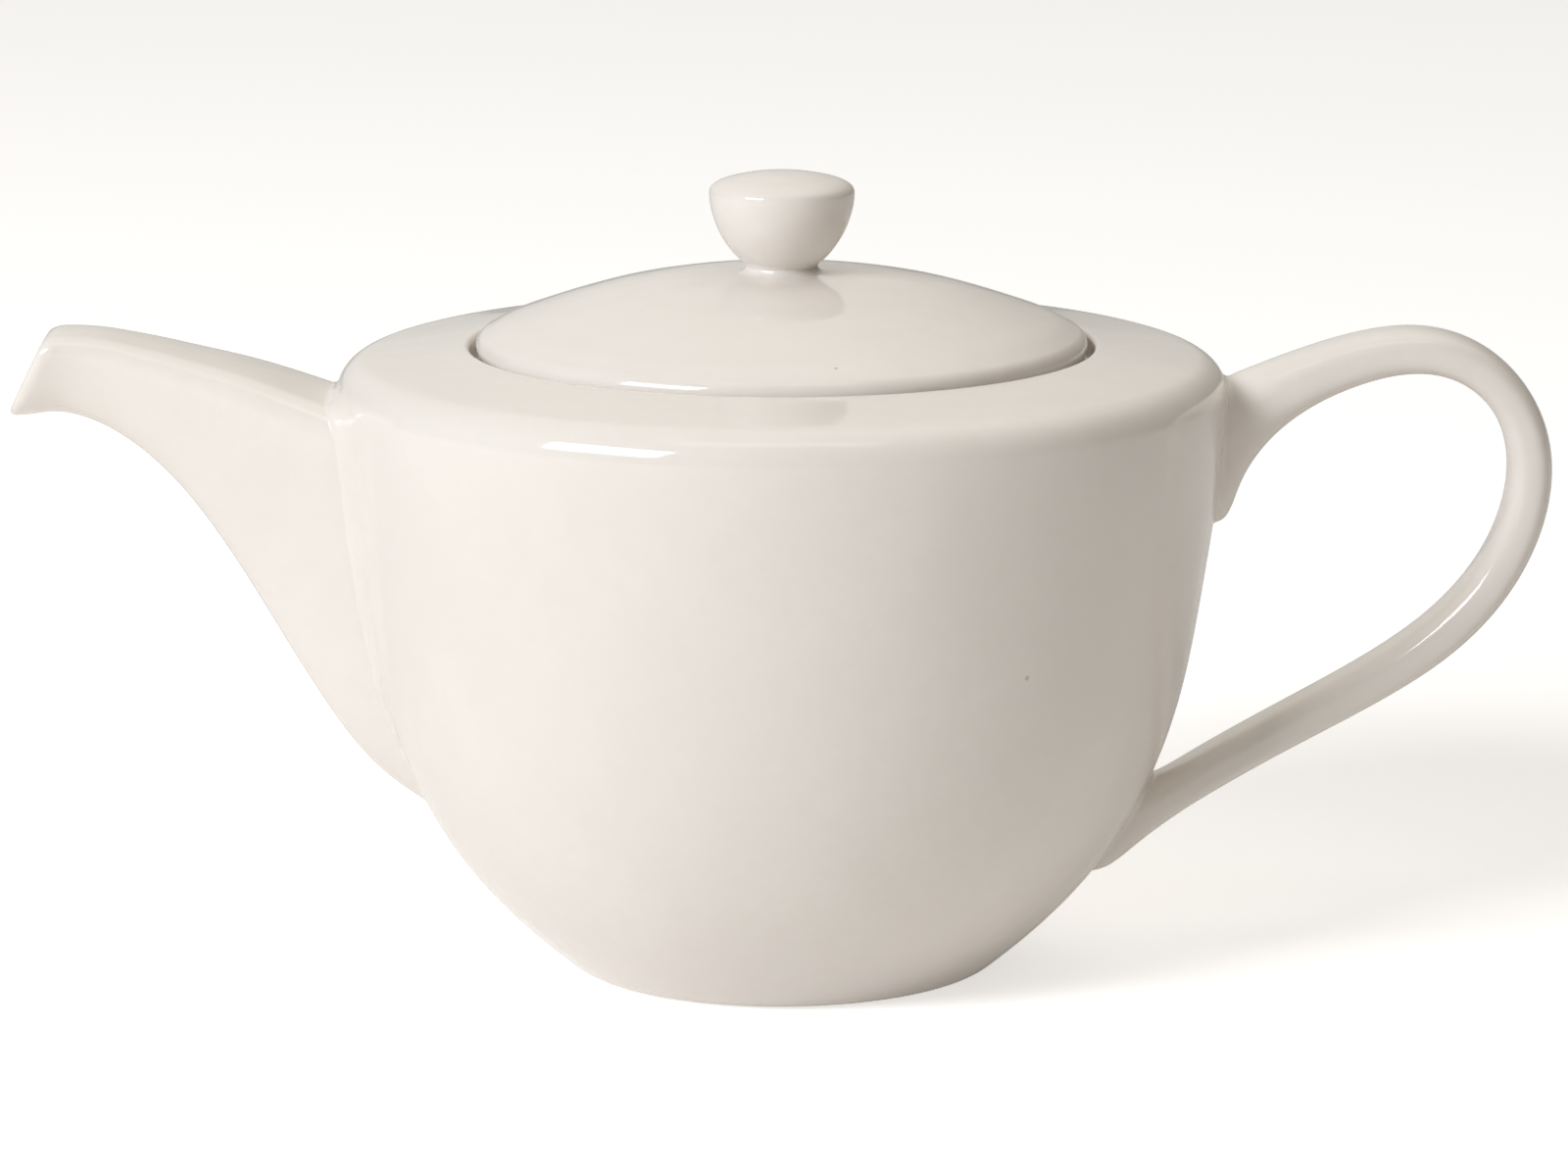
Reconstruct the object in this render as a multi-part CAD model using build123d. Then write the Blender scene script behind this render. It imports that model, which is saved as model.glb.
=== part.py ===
from build123d import *
import math
import os

# Round teapot with a hollow spout, a strap handle and a lift-off lid.
# Frame: origin on the table at the vertical axis of the pot, +Z up,
# spout towards -X, handle towards +X. Millimetres, angles in radians.
# Turned profiles are drawn with (radius, height) points.

QUARTER = math.pi / 2
OUT, IN, UP, DOWN = (1, 0), (-1, 0), (0, 1), (0, -1)   # directions in a turned profile

# ---------------------------------------------------------------- vessel
WALL = 3.8                 # wall thickness at the widest circle
FOOT_OUTER_R = 35.5        # outer edge of the flat standing ring
FOOT_INNER_R = 32.3        # inner edge of the flat standing ring
FOOT_ROUND_R = 6.5         # rounding from the standing ring into the wall
FOOT_TILT = 0.885          # tilt of the wall where that rounding ends
RECESS_H = 2.4             # height of the recess under the base
RECESS_FLAT_R = 29.5       # flat part of the recess
RECESS_EDGE_POINT = (31.2, 1.5)
FLOOR_Z = 6.3              # inside floor above the table
FLOOR_FLAT_R = 29.0        # flat part of the inside floor
SHOULDER_R = 79.8          # widest radius of the vessel
SHOULDER_Z = 104.8         # height of that widest circle
SHOULDER_ROUND_R = 6.3     # rounding from the wall onto the shoulder
SHOULDER_SLOPE = 0.13      # slope of the shoulder up to the opening
# Wall outlines, (radius, height): outside going up, inside going down to the floor
OUTER_WALL = [(49.15, 9.9), (59.45, 21.9), (67.25, 36.0),
              (72.45, 51.5), (75.65, 68.3), (78.3, 86.1)]
INNER_WALL = [(74.5, 86.5), (71.9, 68.9), (68.8, 52.5), (63.8, 37.5),
              (56.3, 24.1), (46.5, 12.65), (37.5, 7.35)]

# ---------------------------------------------------------------- lid seat
OPENING_R = 55.9           # radius of the recess that takes the lid
OPENING_LIP_R = 1.1        # rounding at the top of that recess
SEAT_Z = 109.0             # height of the ledge the lid rests on
SEAT_ROUND_R = 0.9         # hollow rounding at the outer edge of the ledge
THROAT_R = 50.2            # clear radius through the ledge
THROAT_TOP_ROUND_R = 0.7   # rounding of the throat's upper edge
THROAT_LOW_ROUND_R = 1.2   # rounding of the throat's lower edge
LEDGE_T = 4.0              # thickness of the ledge
LEDGE_UNDER_Z = SEAT_Z - LEDGE_T
# Inside of the shoulder, (radius, height above the ledge's underside)
SHOULDER_UNDERSIDE = [(THROAT_R + THROAT_LOW_ROUND_R, 0.0), (58.0, 0.35), (66.0, 1.5),
                      (71.0, 1.55), (74.8, -0.4), (SHOULDER_R - WALL, -4.6)]

# ---------------------------------------------------------------- strainer
HOLE_R = 2.6               # holes through the vessel wall behind the spout
HOLE_START_X = -60.0       # each cutter runs from here towards -X
HOLE_CUT_LENGTH = 40.0
HOLE_TOP_Z = 93.0          # height of the top row
HOLE_ROW_PITCH = 8.0
HOLE_ROWS = [(-8.0, 0.0, 8.0), (-4.0, 4.0), (-7.4, 0.0, 7.4), (-3.8, 3.8), (0.0,)]  # y, top down

# ---------------------------------------------------------------- knob
WAIST_R = 6.5              # waist under the knob
WAIST_Z = 127.35           # height of the waist, where lid and knob meet
KNOB_R = 13.01             # widest radius of the knob
KNOB_R_Z = 140.51          # height of that circle
KNOB_TOP_Z = 144.23
# Knob outlines, (radius, height), going up: below and above its widest circle
KNOB_BOWL = [(7.26, 128.29), (7.94, 128.89), (9.0, 130.09), (9.86, 131.24),
             (10.58, 132.34), (11.22, 133.49), (11.73, 134.64), (12.17, 135.84),
             (12.47, 136.84), (12.74, 137.94), (12.89, 138.84)]
KNOB_CAP = [(12.69, 141.49), (12.08, 142.04), (9.0, 143.2), (4.0, 144.08)]

# ---------------------------------------------------------------- lid
LID_R = 54.8               # outer radius of the lid
LID_EDGE_ROUND_R = 2.9     # rounding of the upper rim of the lid
LID_EDGE_Z = 113.1         # height of the lid's widest circle
LID_EDGE_STEEPENING = 0.05  # added to the dome's last slope where the rounding starts
LID_CEILING_Z = 122.4      # underside of the dome on the axis
FLANGE_R = 49.3            # outer radius of the deep locating ring
FLANGE_T = 3.4             # its thickness
FLANGE_Z = 96.5            # its lower edge
FLANGE_TAPER = 0.5         # how far the ring leans in towards its lower edge
FLANGE_ROUND_R = 0.8       # hollow rounding where the ring meets the lid
FLANGE_INNER_TOP_Z = 109.5  # where the ring's inner face runs into the dome
VENT_R = 1.9               # steam hole through the dome
VENT_Y = 15.0              # its place on the +Y side of the knob
VENT_CUT_Z = 118.0         # mid height of its cutter
VENT_CUT_LENGTH = 20.0
# Lid outlines, (radius, height): neck and dome going out, rim going down, underside going in
LID_NECK = [(WAIST_R, WAIST_Z), (WAIST_R + 0.22, WAIST_Z - 0.6), (WAIST_R + 0.8, WAIST_Z - 1.05)]
LID_DOME = [(8.4, 126.1), (12.0, 125.95), (17.0, 125.65), (22.0, 125.1),
            (27.0, 124.25), (32.0, 123.2), (37.0, 121.8), (42.0, 120.2),
            (47.0, 118.45), (51.0, 116.85)]
LID_RIM = [(LID_R, LID_EDGE_Z), (LID_R - 0.25, 111.9), (LID_R - 1.2, 109.6), (LID_R - 2.2, SEAT_Z)]
LID_UNDERSIDE = [(44.5, 113.3), (40.0, 116.7), (32.0, 119.25), (22.0, 121.2), (12.0, 122.15)]
DOME_START_DIRECTION = (1, -0.03)

# ---------------------------------------------------------------- spout
SPOUT_WALL = 3.0
MOUTH_OVERRUN = 6.0        # how far the bore runs out past the mouth
CROWN_RISE = 0.035         # rise of the crown per half width
MIN_CORNER_R = 0.8
CORNER_STEPS = 4           # steps round each upper corner
FLANK_STEPS = (0.16, 0.32, 0.48, 0.64, 0.80, 0.91, 1.0)   # curve parameters, corner to keel
# Sections from mouth to root: crown x, z, keel x, z, half width, corner radius, taper
SPOUT_ROWS = [
    (-131.28, 115.80, -139.00, 100.20, 9.40, 3, 0.03),
    (-128.60, 115.84, -135.40, 100.38, 9.05, 3, 0.03),
    (-125.37, 115.80, -131.17, 100.88, 8.95, 3, 0.04),
    (-121.12, 115.42, -127.56, 100.58, 9.20, 3.1, 0.05),
    (-116.26, 114.52, -123.72, 99.40, 9.80, 3.2, 0.07),
    (-110.92, 113.37, -119.78, 97.46, 10.60, 3.4, 0.09),
    (-105.31, 111.99, -115.88, 94.81, 11.50, 3.6, 0.11),
    (-99.73, 110.61, -112.07, 91.53, 12.50, 3.8, 0.14),
    (-94.45, 109.17, -108.28, 87.55, 13.60, 4, 0.17),
    (-89.66, 107.65, -104.34, 82.62, 14.60, 4.2, 0.20),
    (-85.44, 106.19, -100.08, 76.45, 15.50, 4.4, 0.23),
    (-81.84, 104.87, -95.42, 68.95, 16.30, 4.6, 0.26),
    (-78.85, 103.71, -90.37, 60.38, 16.90, 4.8, 0.28),
    (-76.39, 102.67, -84.98, 51.37, 17.20, 4.9, 0.30),
    (-74.26, 101.70, -79.36, 42.85, 17.30, 5, 0.30),
    (-72.29, 100.76, -73.61, 35.93, 17.30, 5, 0.30),
    (-70.32, 99.83, -67.89, 31.22, 17.30, 5, 0.30),
    (-68.29, 98.90, -62.42, 27.60, 17.30, 5, 0.30),
    (-66.00, 98.00, -57.49, 24.61, 17.30, 5, 0.30),
]

# ---------------------------------------------------------------- handle
HANDLE_POINTS = 24         # points round each section
# Sections from upper to lower root: outer x, z, inner x, z, half width, squareness
HANDLE_ROWS = [
    (72.09, 103.44, 71.12, 80.19, 8.6, 2.6),
    (76.79, 105.49, 76.90, 80.54, 8.6, 2.6),
    (79.33, 106.58, 79.59, 81.60, 8.6, 2.6),
    (80.90, 107.30, 80.86, 83.80, 8.6, 2.6),
    (82.35, 107.93, 82.05, 87.08, 8.5, 2.6),
    (84.14, 108.64, 83.94, 91.04, 8.3, 2.6),
    (86.47, 109.53, 86.83, 95.12, 8.1, 2.7),
    (89.39, 110.61, 90.60, 98.84, 7.8, 2.8),
    (92.91, 111.85, 94.97, 101.95, 7.6, 2.9),
    (97.04, 113.21, 99.58, 104.38, 7.4, 3),
    (101.72, 114.55, 104.14, 106.17, 7.3, 3),
    (106.83, 115.63, 108.48, 107.38, 7.2, 3),
    (112.18, 116.13, 112.57, 107.96, 7.2, 3),
    (117.62, 115.70, 116.44, 107.85, 7.2, 3),
    (122.96, 114.10, 120.13, 106.93, 7.2, 3),
    (127.98, 111.21, 123.58, 105.10, 7.2, 3),
    (132.38, 107.06, 126.59, 102.32, 7.2, 3),
    (135.79, 101.79, 128.90, 98.64, 7.2, 3),
    (137.87, 95.64, 130.27, 94.18, 7.2, 3),
    (138.40, 88.88, 130.56, 89.11, 7.2, 3),
    (137.37, 81.80, 129.70, 83.65, 7.2, 3),
    (134.89, 74.73, 127.72, 78.04, 7.2, 3),
    (131.14, 68.00, 124.66, 72.55, 7.2, 3),
    (126.30, 61.88, 120.57, 67.37, 7.2, 3),
    (120.50, 56.47, 115.51, 62.57, 7.2, 3),
    (113.87, 51.69, 109.51, 58.09, 7.2, 3),
    (106.66, 47.34, 102.72, 53.81, 7.2, 3),
    (99.22, 43.25, 95.46, 49.65, 7.2, 3),
    (92.02, 39.36, 88.30, 45.66, 7.2, 3),
    (85.49, 35.71, 81.85, 42.03, 7.2, 3),
    (79.85, 32.40, 76.62, 38.97, 7.25, 3),
    (75.08, 29.43, 72.78, 36.65, 7.35, 2.9),
    (70.98, 26.66, 70.16, 35.12, 7.5, 2.8),
    (67.37, 23.96, 68.39, 34.26, 7.7, 2.7),
    (64.18, 21.34, 67.07, 33.84, 7.8, 2.6),
    (61.47, 19.04, 65.88, 33.53, 7.9, 2.6),
    (59.23, 17.41, 64.63, 33.04, 7.9, 2.6),
    (57.19, 16.58, 63.21, 32.42, 7.9, 2.6),
    (54.80, 16.28, 61.36, 31.67, 7.9, 2.6),
    (51.61, 16.32, 58.82, 30.61, 7.9, 2.6),
]


# ---------------------------------------------------------------- profile helpers
def in_plane(point):
    """A (radius, height) pair placed in the YZ plane."""
    return (0.0, *point)


def on_circle(centre, radius, angle):
    return (centre[0] + radius * math.cos(angle), centre[1] + radius * math.sin(angle))


def arc(centre, radius, start, end):
    """Arc between two angles, measured from the outward direction towards up."""
    angles = (start, (start + end) / 2, end)
    return ThreePointArc(*[in_plane(on_circle(centre, radius, angle)) for angle in angles])


def lines(*points):
    """Straight edges from point to point."""
    return [Line(in_plane(a), in_plane(b)) for a, b in zip(points, points[1:])]


def curve(points, start, end):
    """Spline through the points with the given end directions."""
    return Spline(*[in_plane(p) for p in points], tangents=[in_plane(start), in_plane(end)])


def turned(edges):
    """Solid of revolution about Z from a closed chain of profile edges."""
    return Solid.revolve(Face(Wire(edges)), 360, Axis.Z)


# ---------------------------------------------------------------- outside of the vessel
foot_centre = (FOOT_OUTER_R, FOOT_ROUND_R)
foot_end = on_circle(foot_centre, FOOT_ROUND_R, -FOOT_TILT)
shoulder_centre = (SHOULDER_R - SHOULDER_ROUND_R, SHOULDER_Z)
shoulder_angle = QUARTER - SHOULDER_SLOPE
shoulder_end = on_circle(shoulder_centre, SHOULDER_ROUND_R, shoulder_angle)
# The shoulder's slope runs tangentially into the rounding of the opening
lip_r = OPENING_R + OPENING_LIP_R * (1 + math.sin(SHOULDER_SLOPE))
lip_z = shoulder_end[1] + (shoulder_end[0] - lip_r) * math.tan(SHOULDER_SLOPE)
lip_centre = (OPENING_R + OPENING_LIP_R, lip_z - OPENING_LIP_R * math.cos(SHOULDER_SLOPE))

outside = [
    arc(foot_centre, FOOT_ROUND_R, -QUARTER, -FOOT_TILT),
    curve([foot_end, *OUTER_WALL, (SHOULDER_R, SHOULDER_Z)],
          (math.sin(FOOT_TILT), math.cos(FOOT_TILT)), UP),
    arc(shoulder_centre, SHOULDER_ROUND_R, 0, shoulder_angle),
    *lines(shoulder_end, (lip_r, lip_z)),
]

# Filled vessel: cuts the spout and the handle back to the outer surface
filled = turned(outside + lines((lip_r, lip_z), (0, lip_z), (0, 0), (FOOT_OUTER_R, 0)))


def make_pot_body():
    ceiling = [(r, LEDGE_UNDER_Z + rise) for r, rise in SHOULDER_UNDERSIDE]
    seat_r = OPENING_R - SEAT_ROUND_R
    throat_top = (THROAT_R + THROAT_TOP_ROUND_R, SEAT_Z - THROAT_TOP_ROUND_R)
    throat_low = (THROAT_R + THROAT_LOW_ROUND_R, LEDGE_UNDER_Z + THROAT_LOW_ROUND_R)
    body = turned(outside + [
        arc(lip_centre, OPENING_LIP_R, shoulder_angle, math.pi),
        *lines((OPENING_R, lip_centre[1]), (OPENING_R, SEAT_Z + SEAT_ROUND_R)),
        arc((seat_r, SEAT_Z + SEAT_ROUND_R), SEAT_ROUND_R, 0, -QUARTER),
        *lines((seat_r, SEAT_Z), (throat_top[0], SEAT_Z)),
        arc(throat_top, THROAT_TOP_ROUND_R, QUARTER, math.pi),
        *lines((THROAT_R, throat_top[1]), (THROAT_R, throat_low[1])),
        arc(throat_low, THROAT_LOW_ROUND_R, math.pi, 3 * QUARTER),
        curve(ceiling, OUT, DOWN),
        curve([ceiling[-1], *INNER_WALL, (FLOOR_FLAT_R, FLOOR_Z)], DOWN, IN),
        *lines((FLOOR_FLAT_R, FLOOR_Z), (0, FLOOR_Z), (0, RECESS_H), (RECESS_FLAT_R, RECESS_H)),
        curve([(RECESS_FLAT_R, RECESS_H), RECESS_EDGE_POINT, (FOOT_INNER_R, 0)],
              OUT, (0.45, -1)),
        *lines((FOOT_INNER_R, 0), (FOOT_OUTER_R, 0)),
    ])
    for row, hole_ys in enumerate(HOLE_ROWS):
        for y in hole_ys:
            place = Pos(HOLE_START_X, y, HOLE_TOP_Z - row * HOLE_ROW_PITCH) * Rot(0, -90, 0)
            body -= place * Cylinder(HOLE_R, HOLE_CUT_LENGTH,
                                     align=(Align.CENTER, Align.CENTER, Align.MIN))
    return body


# ---------------------------------------------------------------- spout
def bezier(p0, p1, p2, p3, t):
    u = 1 - t
    return tuple(u ** 3 * a + 3 * u * u * t * b + 3 * u * t * t * c + t ** 3 * d
                 for a, b, c, d in zip(p0, p1, p2, p3))


def spout_half(height, half_width, corner_r, taper):
    """Half outline of a section: (distance below the crown, half width)."""
    crown = CROWN_RISE * half_width
    flat = half_width - corner_r
    points = [(0.0, 0.0), (crown * 0.11, flat / 3), (crown * 0.44, flat * 2 / 3)]
    for k in range(CORNER_STEPS + 1):
        angle = QUARTER * (1 - k / CORNER_STEPS)
        points.append((crown + corner_r * (1 - math.sin(angle)),
                       flat + corner_r * math.cos(angle)))
    # The flank narrows from the corner down to the rounded keel
    flank_top = crown + corner_r
    control = [
        (flank_top, half_width),
        (flank_top + (0.62 - 0.25 * taper) * (height - flank_top), half_width * (1 - taper)),
        (height, half_width * (0.60 - 0.5 * taper)),
        (height, 0.0),
    ]
    return points + [bezier(*control, t) for t in FLANK_STEPS]


def spout_axis(row):
    """Length and unit direction (x, z) from crown to keel."""
    crown_x, crown_z, keel_x, keel_z = row[:4]
    length = math.hypot(keel_x - crown_x, keel_z - crown_z)
    return length, (keel_x - crown_x) / length, (keel_z - crown_z) / length


def spout_section(row, inset=0.0):
    crown_x, crown_z = row[:2]
    half_width, corner_r, taper = row[4:]
    length, ux, uz = spout_axis(row)
    half = spout_half(length - 2 * inset, half_width - inset,
                      max(corner_r - inset * 0.8, MIN_CORNER_R), taper)
    loop = half + [(s, -y) for s, y in reversed(half[1:-1])]
    points = [Vector(crown_x + ux * (s + inset), y, crown_z + uz * (s + inset)) for s, y in loop]
    return Wire([Edge.make_spline(points, periodic=True)])


def moved_out(row, distance):
    """The section moved outwards, square to its crown-to-keel line."""
    crown_x, crown_z, keel_x, keel_z = row[:4]
    _, ux, uz = spout_axis(row)
    dx, dz = uz * distance, -ux * distance
    return (crown_x + dx, crown_z + dz, keel_x + dx, keel_z + dz, *row[4:])


def make_spout():
    bore_rows = [moved_out(SPOUT_ROWS[0], MOUTH_OVERRUN), *SPOUT_ROWS]
    outer = Solid.make_loft([spout_section(row) for row in SPOUT_ROWS])
    bore = Solid.make_loft([spout_section(row, SPOUT_WALL) for row in bore_rows])
    return (outer - bore) - filled


# ---------------------------------------------------------------- handle
def signed_power(value, exponent):
    return math.copysign(abs(value) ** exponent, value)


def handle_section(row):
    """Superellipse between the outer and the inner point."""
    outer_x, outer_z, inner_x, inner_z, half_width, squareness = row
    half_depth = math.hypot(inner_x - outer_x, inner_z - outer_z) / 2
    ux, uz = (outer_x - inner_x) / (2 * half_depth), (outer_z - inner_z) / (2 * half_depth)
    mid_x, mid_z = (outer_x + inner_x) / 2, (outer_z + inner_z) / 2
    points = []
    for k in range(HANDLE_POINTS):
        angle = 2 * math.pi * k / HANDLE_POINTS
        depth = signed_power(math.cos(angle), 2 / squareness) * half_depth
        y = signed_power(math.sin(angle), 2 / squareness) * half_width
        points.append(Vector(mid_x + ux * depth, y, mid_z + uz * depth))
    return Wire([Edge.make_spline(points, periodic=True)])


def make_handle():
    return Solid.make_loft([handle_section(row) for row in HANDLE_ROWS]) - filled


# ---------------------------------------------------------------- lid and knob
def make_lid():
    (r1, z1), (r2, z2) = LID_DOME[-2:]
    edge_slope = math.atan2(z1 - z2, r2 - r1) + LID_EDGE_STEEPENING
    edge_centre = (LID_R - LID_EDGE_ROUND_R, LID_EDGE_Z)
    edge_angle = QUARTER - edge_slope
    edge_start = on_circle(edge_centre, LID_EDGE_ROUND_R, edge_angle)
    flange_root = (FLANGE_R + FLANGE_ROUND_R, SEAT_Z - FLANGE_ROUND_R)
    tip_round_r = FLANGE_T / 2
    tip_r = FLANGE_R - FLANGE_TAPER
    tip_z = FLANGE_Z + tip_round_r
    flange_inner_top = (FLANGE_R - FLANGE_T, FLANGE_INNER_TOP_Z)
    lid = turned([
        *lines((0, WAIST_Z), (WAIST_R, WAIST_Z)),
        curve([*LID_NECK, LID_DOME[0]], DOWN, DOME_START_DIRECTION),
        curve([*LID_DOME, edge_start], DOME_START_DIRECTION,
              (math.cos(edge_slope), -math.sin(edge_slope))),
        arc(edge_centre, LID_EDGE_ROUND_R, edge_angle, 0),
        curve(LID_RIM, DOWN, IN),
        *lines(LID_RIM[-1], (flange_root[0], SEAT_Z)),
        arc(flange_root, FLANGE_ROUND_R, QUARTER, math.pi),
        *lines((FLANGE_R, flange_root[1]), (tip_r, tip_z)),
        arc((tip_r - tip_round_r, tip_z), tip_round_r, 0, -math.pi),
        *lines((tip_r - FLANGE_T, tip_z), flange_inner_top),
        curve([flange_inner_top, *LID_UNDERSIDE, (0, LID_CEILING_Z)], UP, IN),
        *lines((0, LID_CEILING_Z), (0, WAIST_Z)),
    ])
    return Rot(0, 0, 180) * lid - Pos(0, VENT_Y, VENT_CUT_Z) * Cylinder(VENT_R, VENT_CUT_LENGTH)


def make_lid_knob():
    waist, widest, top = (WAIST_R, WAIST_Z), (KNOB_R, KNOB_R_Z), (0, KNOB_TOP_Z)
    return turned([
        *lines((0, WAIST_Z), waist),
        curve([waist, *KNOB_BOWL, widest], UP, UP),
        curve([widest, *KNOB_CAP, top], UP, IN),
        *lines(top, (0, WAIST_Z)),
    ])


os.makedirs("parts", exist_ok=True)
for name, make in (("pot_body", make_pot_body), ("spout", make_spout), ("handle", make_handle),
                   ("lid", make_lid), ("lid_knob", make_lid_knob)):
    solid = make()
    solid.label = name
    export_step(solid, f"parts/{name}.step")
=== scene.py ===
"""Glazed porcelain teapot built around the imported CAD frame.

The pot stands on z = 0 with its axis on z. The spout points to -x, the handle to +x, and the
camera looks from -y. Shapes are worked out in millimetres, as in the CAD model, and become
metres when a mesh is made. Shaders, lights and camera are in metres.
"""
import math

import bmesh
import bpy
import numpy as np
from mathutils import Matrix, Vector


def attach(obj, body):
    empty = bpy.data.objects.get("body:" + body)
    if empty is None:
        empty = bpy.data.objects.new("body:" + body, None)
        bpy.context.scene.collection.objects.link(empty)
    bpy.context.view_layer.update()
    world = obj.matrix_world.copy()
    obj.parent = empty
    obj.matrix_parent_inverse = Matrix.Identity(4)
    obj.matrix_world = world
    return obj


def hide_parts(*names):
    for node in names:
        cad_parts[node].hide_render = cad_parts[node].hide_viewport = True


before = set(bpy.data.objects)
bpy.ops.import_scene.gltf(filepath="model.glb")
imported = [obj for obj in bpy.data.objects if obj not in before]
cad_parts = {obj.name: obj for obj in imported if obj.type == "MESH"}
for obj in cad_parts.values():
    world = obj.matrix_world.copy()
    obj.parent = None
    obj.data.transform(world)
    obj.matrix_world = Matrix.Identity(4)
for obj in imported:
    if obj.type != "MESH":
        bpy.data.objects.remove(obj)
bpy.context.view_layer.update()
scene = bpy.context.scene

MM = 0.001
QUARTER = math.pi / 2

# ---------------------------------------------------------------- vessel, (radius, height) points
FOOT_OUTER_R, FOOT_ROUND_R = 35.5, 6.5
FOOT_TILT = 0.885                   # radians below level at which the foot's round meets the wall
RECESS_H = 2.4                      # hollow under the pot
RECESS_SIDE = [(29.5, RECESS_H), (31.2, 1.5), (32.05, 0.35)]
RECESS_RIM = [(32.05, 0.35), (32.3, 0.09), (32.65, 0.0)]
RECESS_SLOPE = (0.45, -1)           # direction where side and rim meet
WALL_POINTS = [(49.15, 9.9), (59.45, 21.9), (67.25, 36.0), (72.45, 51.5), (75.65, 68.3),
               (78.3, 86.1)]
SHOULDER_R, SHOULDER_Z, SHOULDER_ROUND_R, SHOULDER_SLOPE = 79.8, 104.8, 6.3, 0.13
OPENING_R, OPENING_LIP_R = 55.9, 1.1
SEAT_Z, SEAT_CORNER_R = 109.0, 0.9
THROAT_R, THROAT_TOP_ROUND_R, THROAT_LOW_ROUND_R = 50.2, 0.7, 1.2
WALL, FLOOR_Z, FLOOR_R = 3.8, 6.3, 29.0
LEDGE_UNDER_Z = SEAT_Z - 4.0        # underside of the ledge that carries the lid
LEDGE_UNDER = [(58.0, 0.35), (66.0, 1.5), (71.0, 1.55), (74.8, -0.4)]  # heights from that level
INNER_TOP = (SHOULDER_R - WALL, LEDGE_UNDER_Z - 4.6)
INNER_WALL = [(46.5, 12.65), (56.3, 24.1), (63.8, 37.5), (68.8, 52.5), (71.9, 68.9), (74.5, 86.5)]
INNER_FOOT = (37.5, 7.35)

# Holes through the wall behind the spout: rows downwards, with the y of each hole
HOLE_R, HOLE_ROUND_R, HOLE_AIM_R = 2.6, 0.45, 78.0
HOLE_TOP_Z, HOLE_ROW_PITCH = 93.0, 8.0
HOLE_ROWS = [(-8.0, 0.0, 8.0), (-4.0, 4.0), (-7.4, 0.0, 7.4), (-3.8, 3.8), (0.0,)]

# ---------------------------------------------------------------- lid and knob, (radius, height)
LID_R = OPENING_R - 1.1
LID_EDGE_ROUND_R, LID_EDGE_Z, LID_SKIN = 2.9, 113.1, 3.8
LID_DOME = [(8.4, 126.1), (12.0, 125.95), (17.0, 125.65), (22.0, 125.1), (27.0, 124.25),
            (32.0, 123.2), (37.0, 121.8), (42.0, 120.2), (47.0, 118.45), (51.0, 116.85)]
DOME_START = (1, -0.03)             # direction of the dome where it leaves the waist
LID_EDGE_UNDER = [(LID_R - 0.25, 111.9), (LID_R - 1.2, 109.6), (LID_R - 2.2, SEAT_Z)]
FLANGE_R = THROAT_R - 0.9
FLANGE_T, FLANGE_Z = 3.4, 96.5
FLANGE_DRAFT, FLANGE_ROUND_R = 0.5, 0.8
LID_UNDERSIDE = [(FLANGE_R - FLANGE_T, 109.5), (44.5, 113.3), (40.0, 116.7), (32.0, 119.25),
                 (22.0, 121.2), (12.0, 122.15), (0, 122.4)]
VENT_R, VENT_Y, VENT_ROUND_R = 1.9, 15.0, 0.5
WAIST_R, WAIST_Z = 6.5, 127.35      # where lid and knob meet
JOINT_DROP, JOINT_BEVEL = 0.25, 0.9
KNOB_BOWL = [(7.26, 128.29), (7.94, 128.89), (9.0, 130.09), (9.86, 131.24), (10.58, 132.34),
             (11.22, 133.49), (11.73, 134.64), (12.17, 135.84), (12.47, 136.84), (12.74, 137.94),
             (12.89, 138.84)]
KNOB_WIDEST = (13.01, 140.51)
KNOB_CAP = [(12.69, 141.49), (12.08, 142.04), (9.0, 143.2), (4.0, 144.08), (0, 144.23)]

# ---------------------------------------------------------------- spout and handle stations
# Mouth to root: crown x, z; keel x, z; half width; corner radius; taper
SPOUT_ROWS = [
    (-131.28, 115.80, -139.00, 100.20, 9.40, 3, 0.03),
    (-128.60, 115.84, -135.40, 100.38, 9.05, 3, 0.03),
    (-125.37, 115.80, -131.17, 100.88, 8.95, 3, 0.04),
    (-121.12, 115.42, -127.56, 100.58, 9.20, 3.1, 0.05),
    (-116.26, 114.52, -123.72, 99.40, 9.80, 3.2, 0.07),
    (-110.92, 113.37, -119.78, 97.46, 10.60, 3.4, 0.09),
    (-105.31, 111.99, -115.88, 94.81, 11.50, 3.6, 0.11),
    (-99.73, 110.61, -112.07, 91.53, 12.50, 3.8, 0.14),
    (-94.45, 109.17, -108.28, 87.55, 13.60, 4, 0.17),
    (-89.66, 107.65, -104.34, 82.62, 14.60, 4.2, 0.20),
    (-85.44, 106.19, -100.08, 76.45, 15.50, 4.4, 0.23),
    (-81.84, 104.87, -95.42, 68.95, 16.30, 4.6, 0.26),
    (-78.85, 103.71, -90.37, 60.38, 16.90, 4.8, 0.28),
    (-76.39, 102.67, -84.98, 51.37, 17.20, 4.9, 0.30),
    (-74.26, 101.70, -79.36, 42.85, 17.30, 5, 0.30),
    (-72.29, 100.76, -73.61, 35.93, 17.30, 5, 0.30),
    (-70.32, 99.83, -67.89, 31.22, 17.30, 5, 0.30),
    (-68.29, 98.90, -62.42, 27.60, 17.30, 5, 0.30),
    (-66.00, 98.00, -57.49, 24.61, 17.30, 5, 0.30),
]
SPOUT_WALL = 3.0
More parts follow.
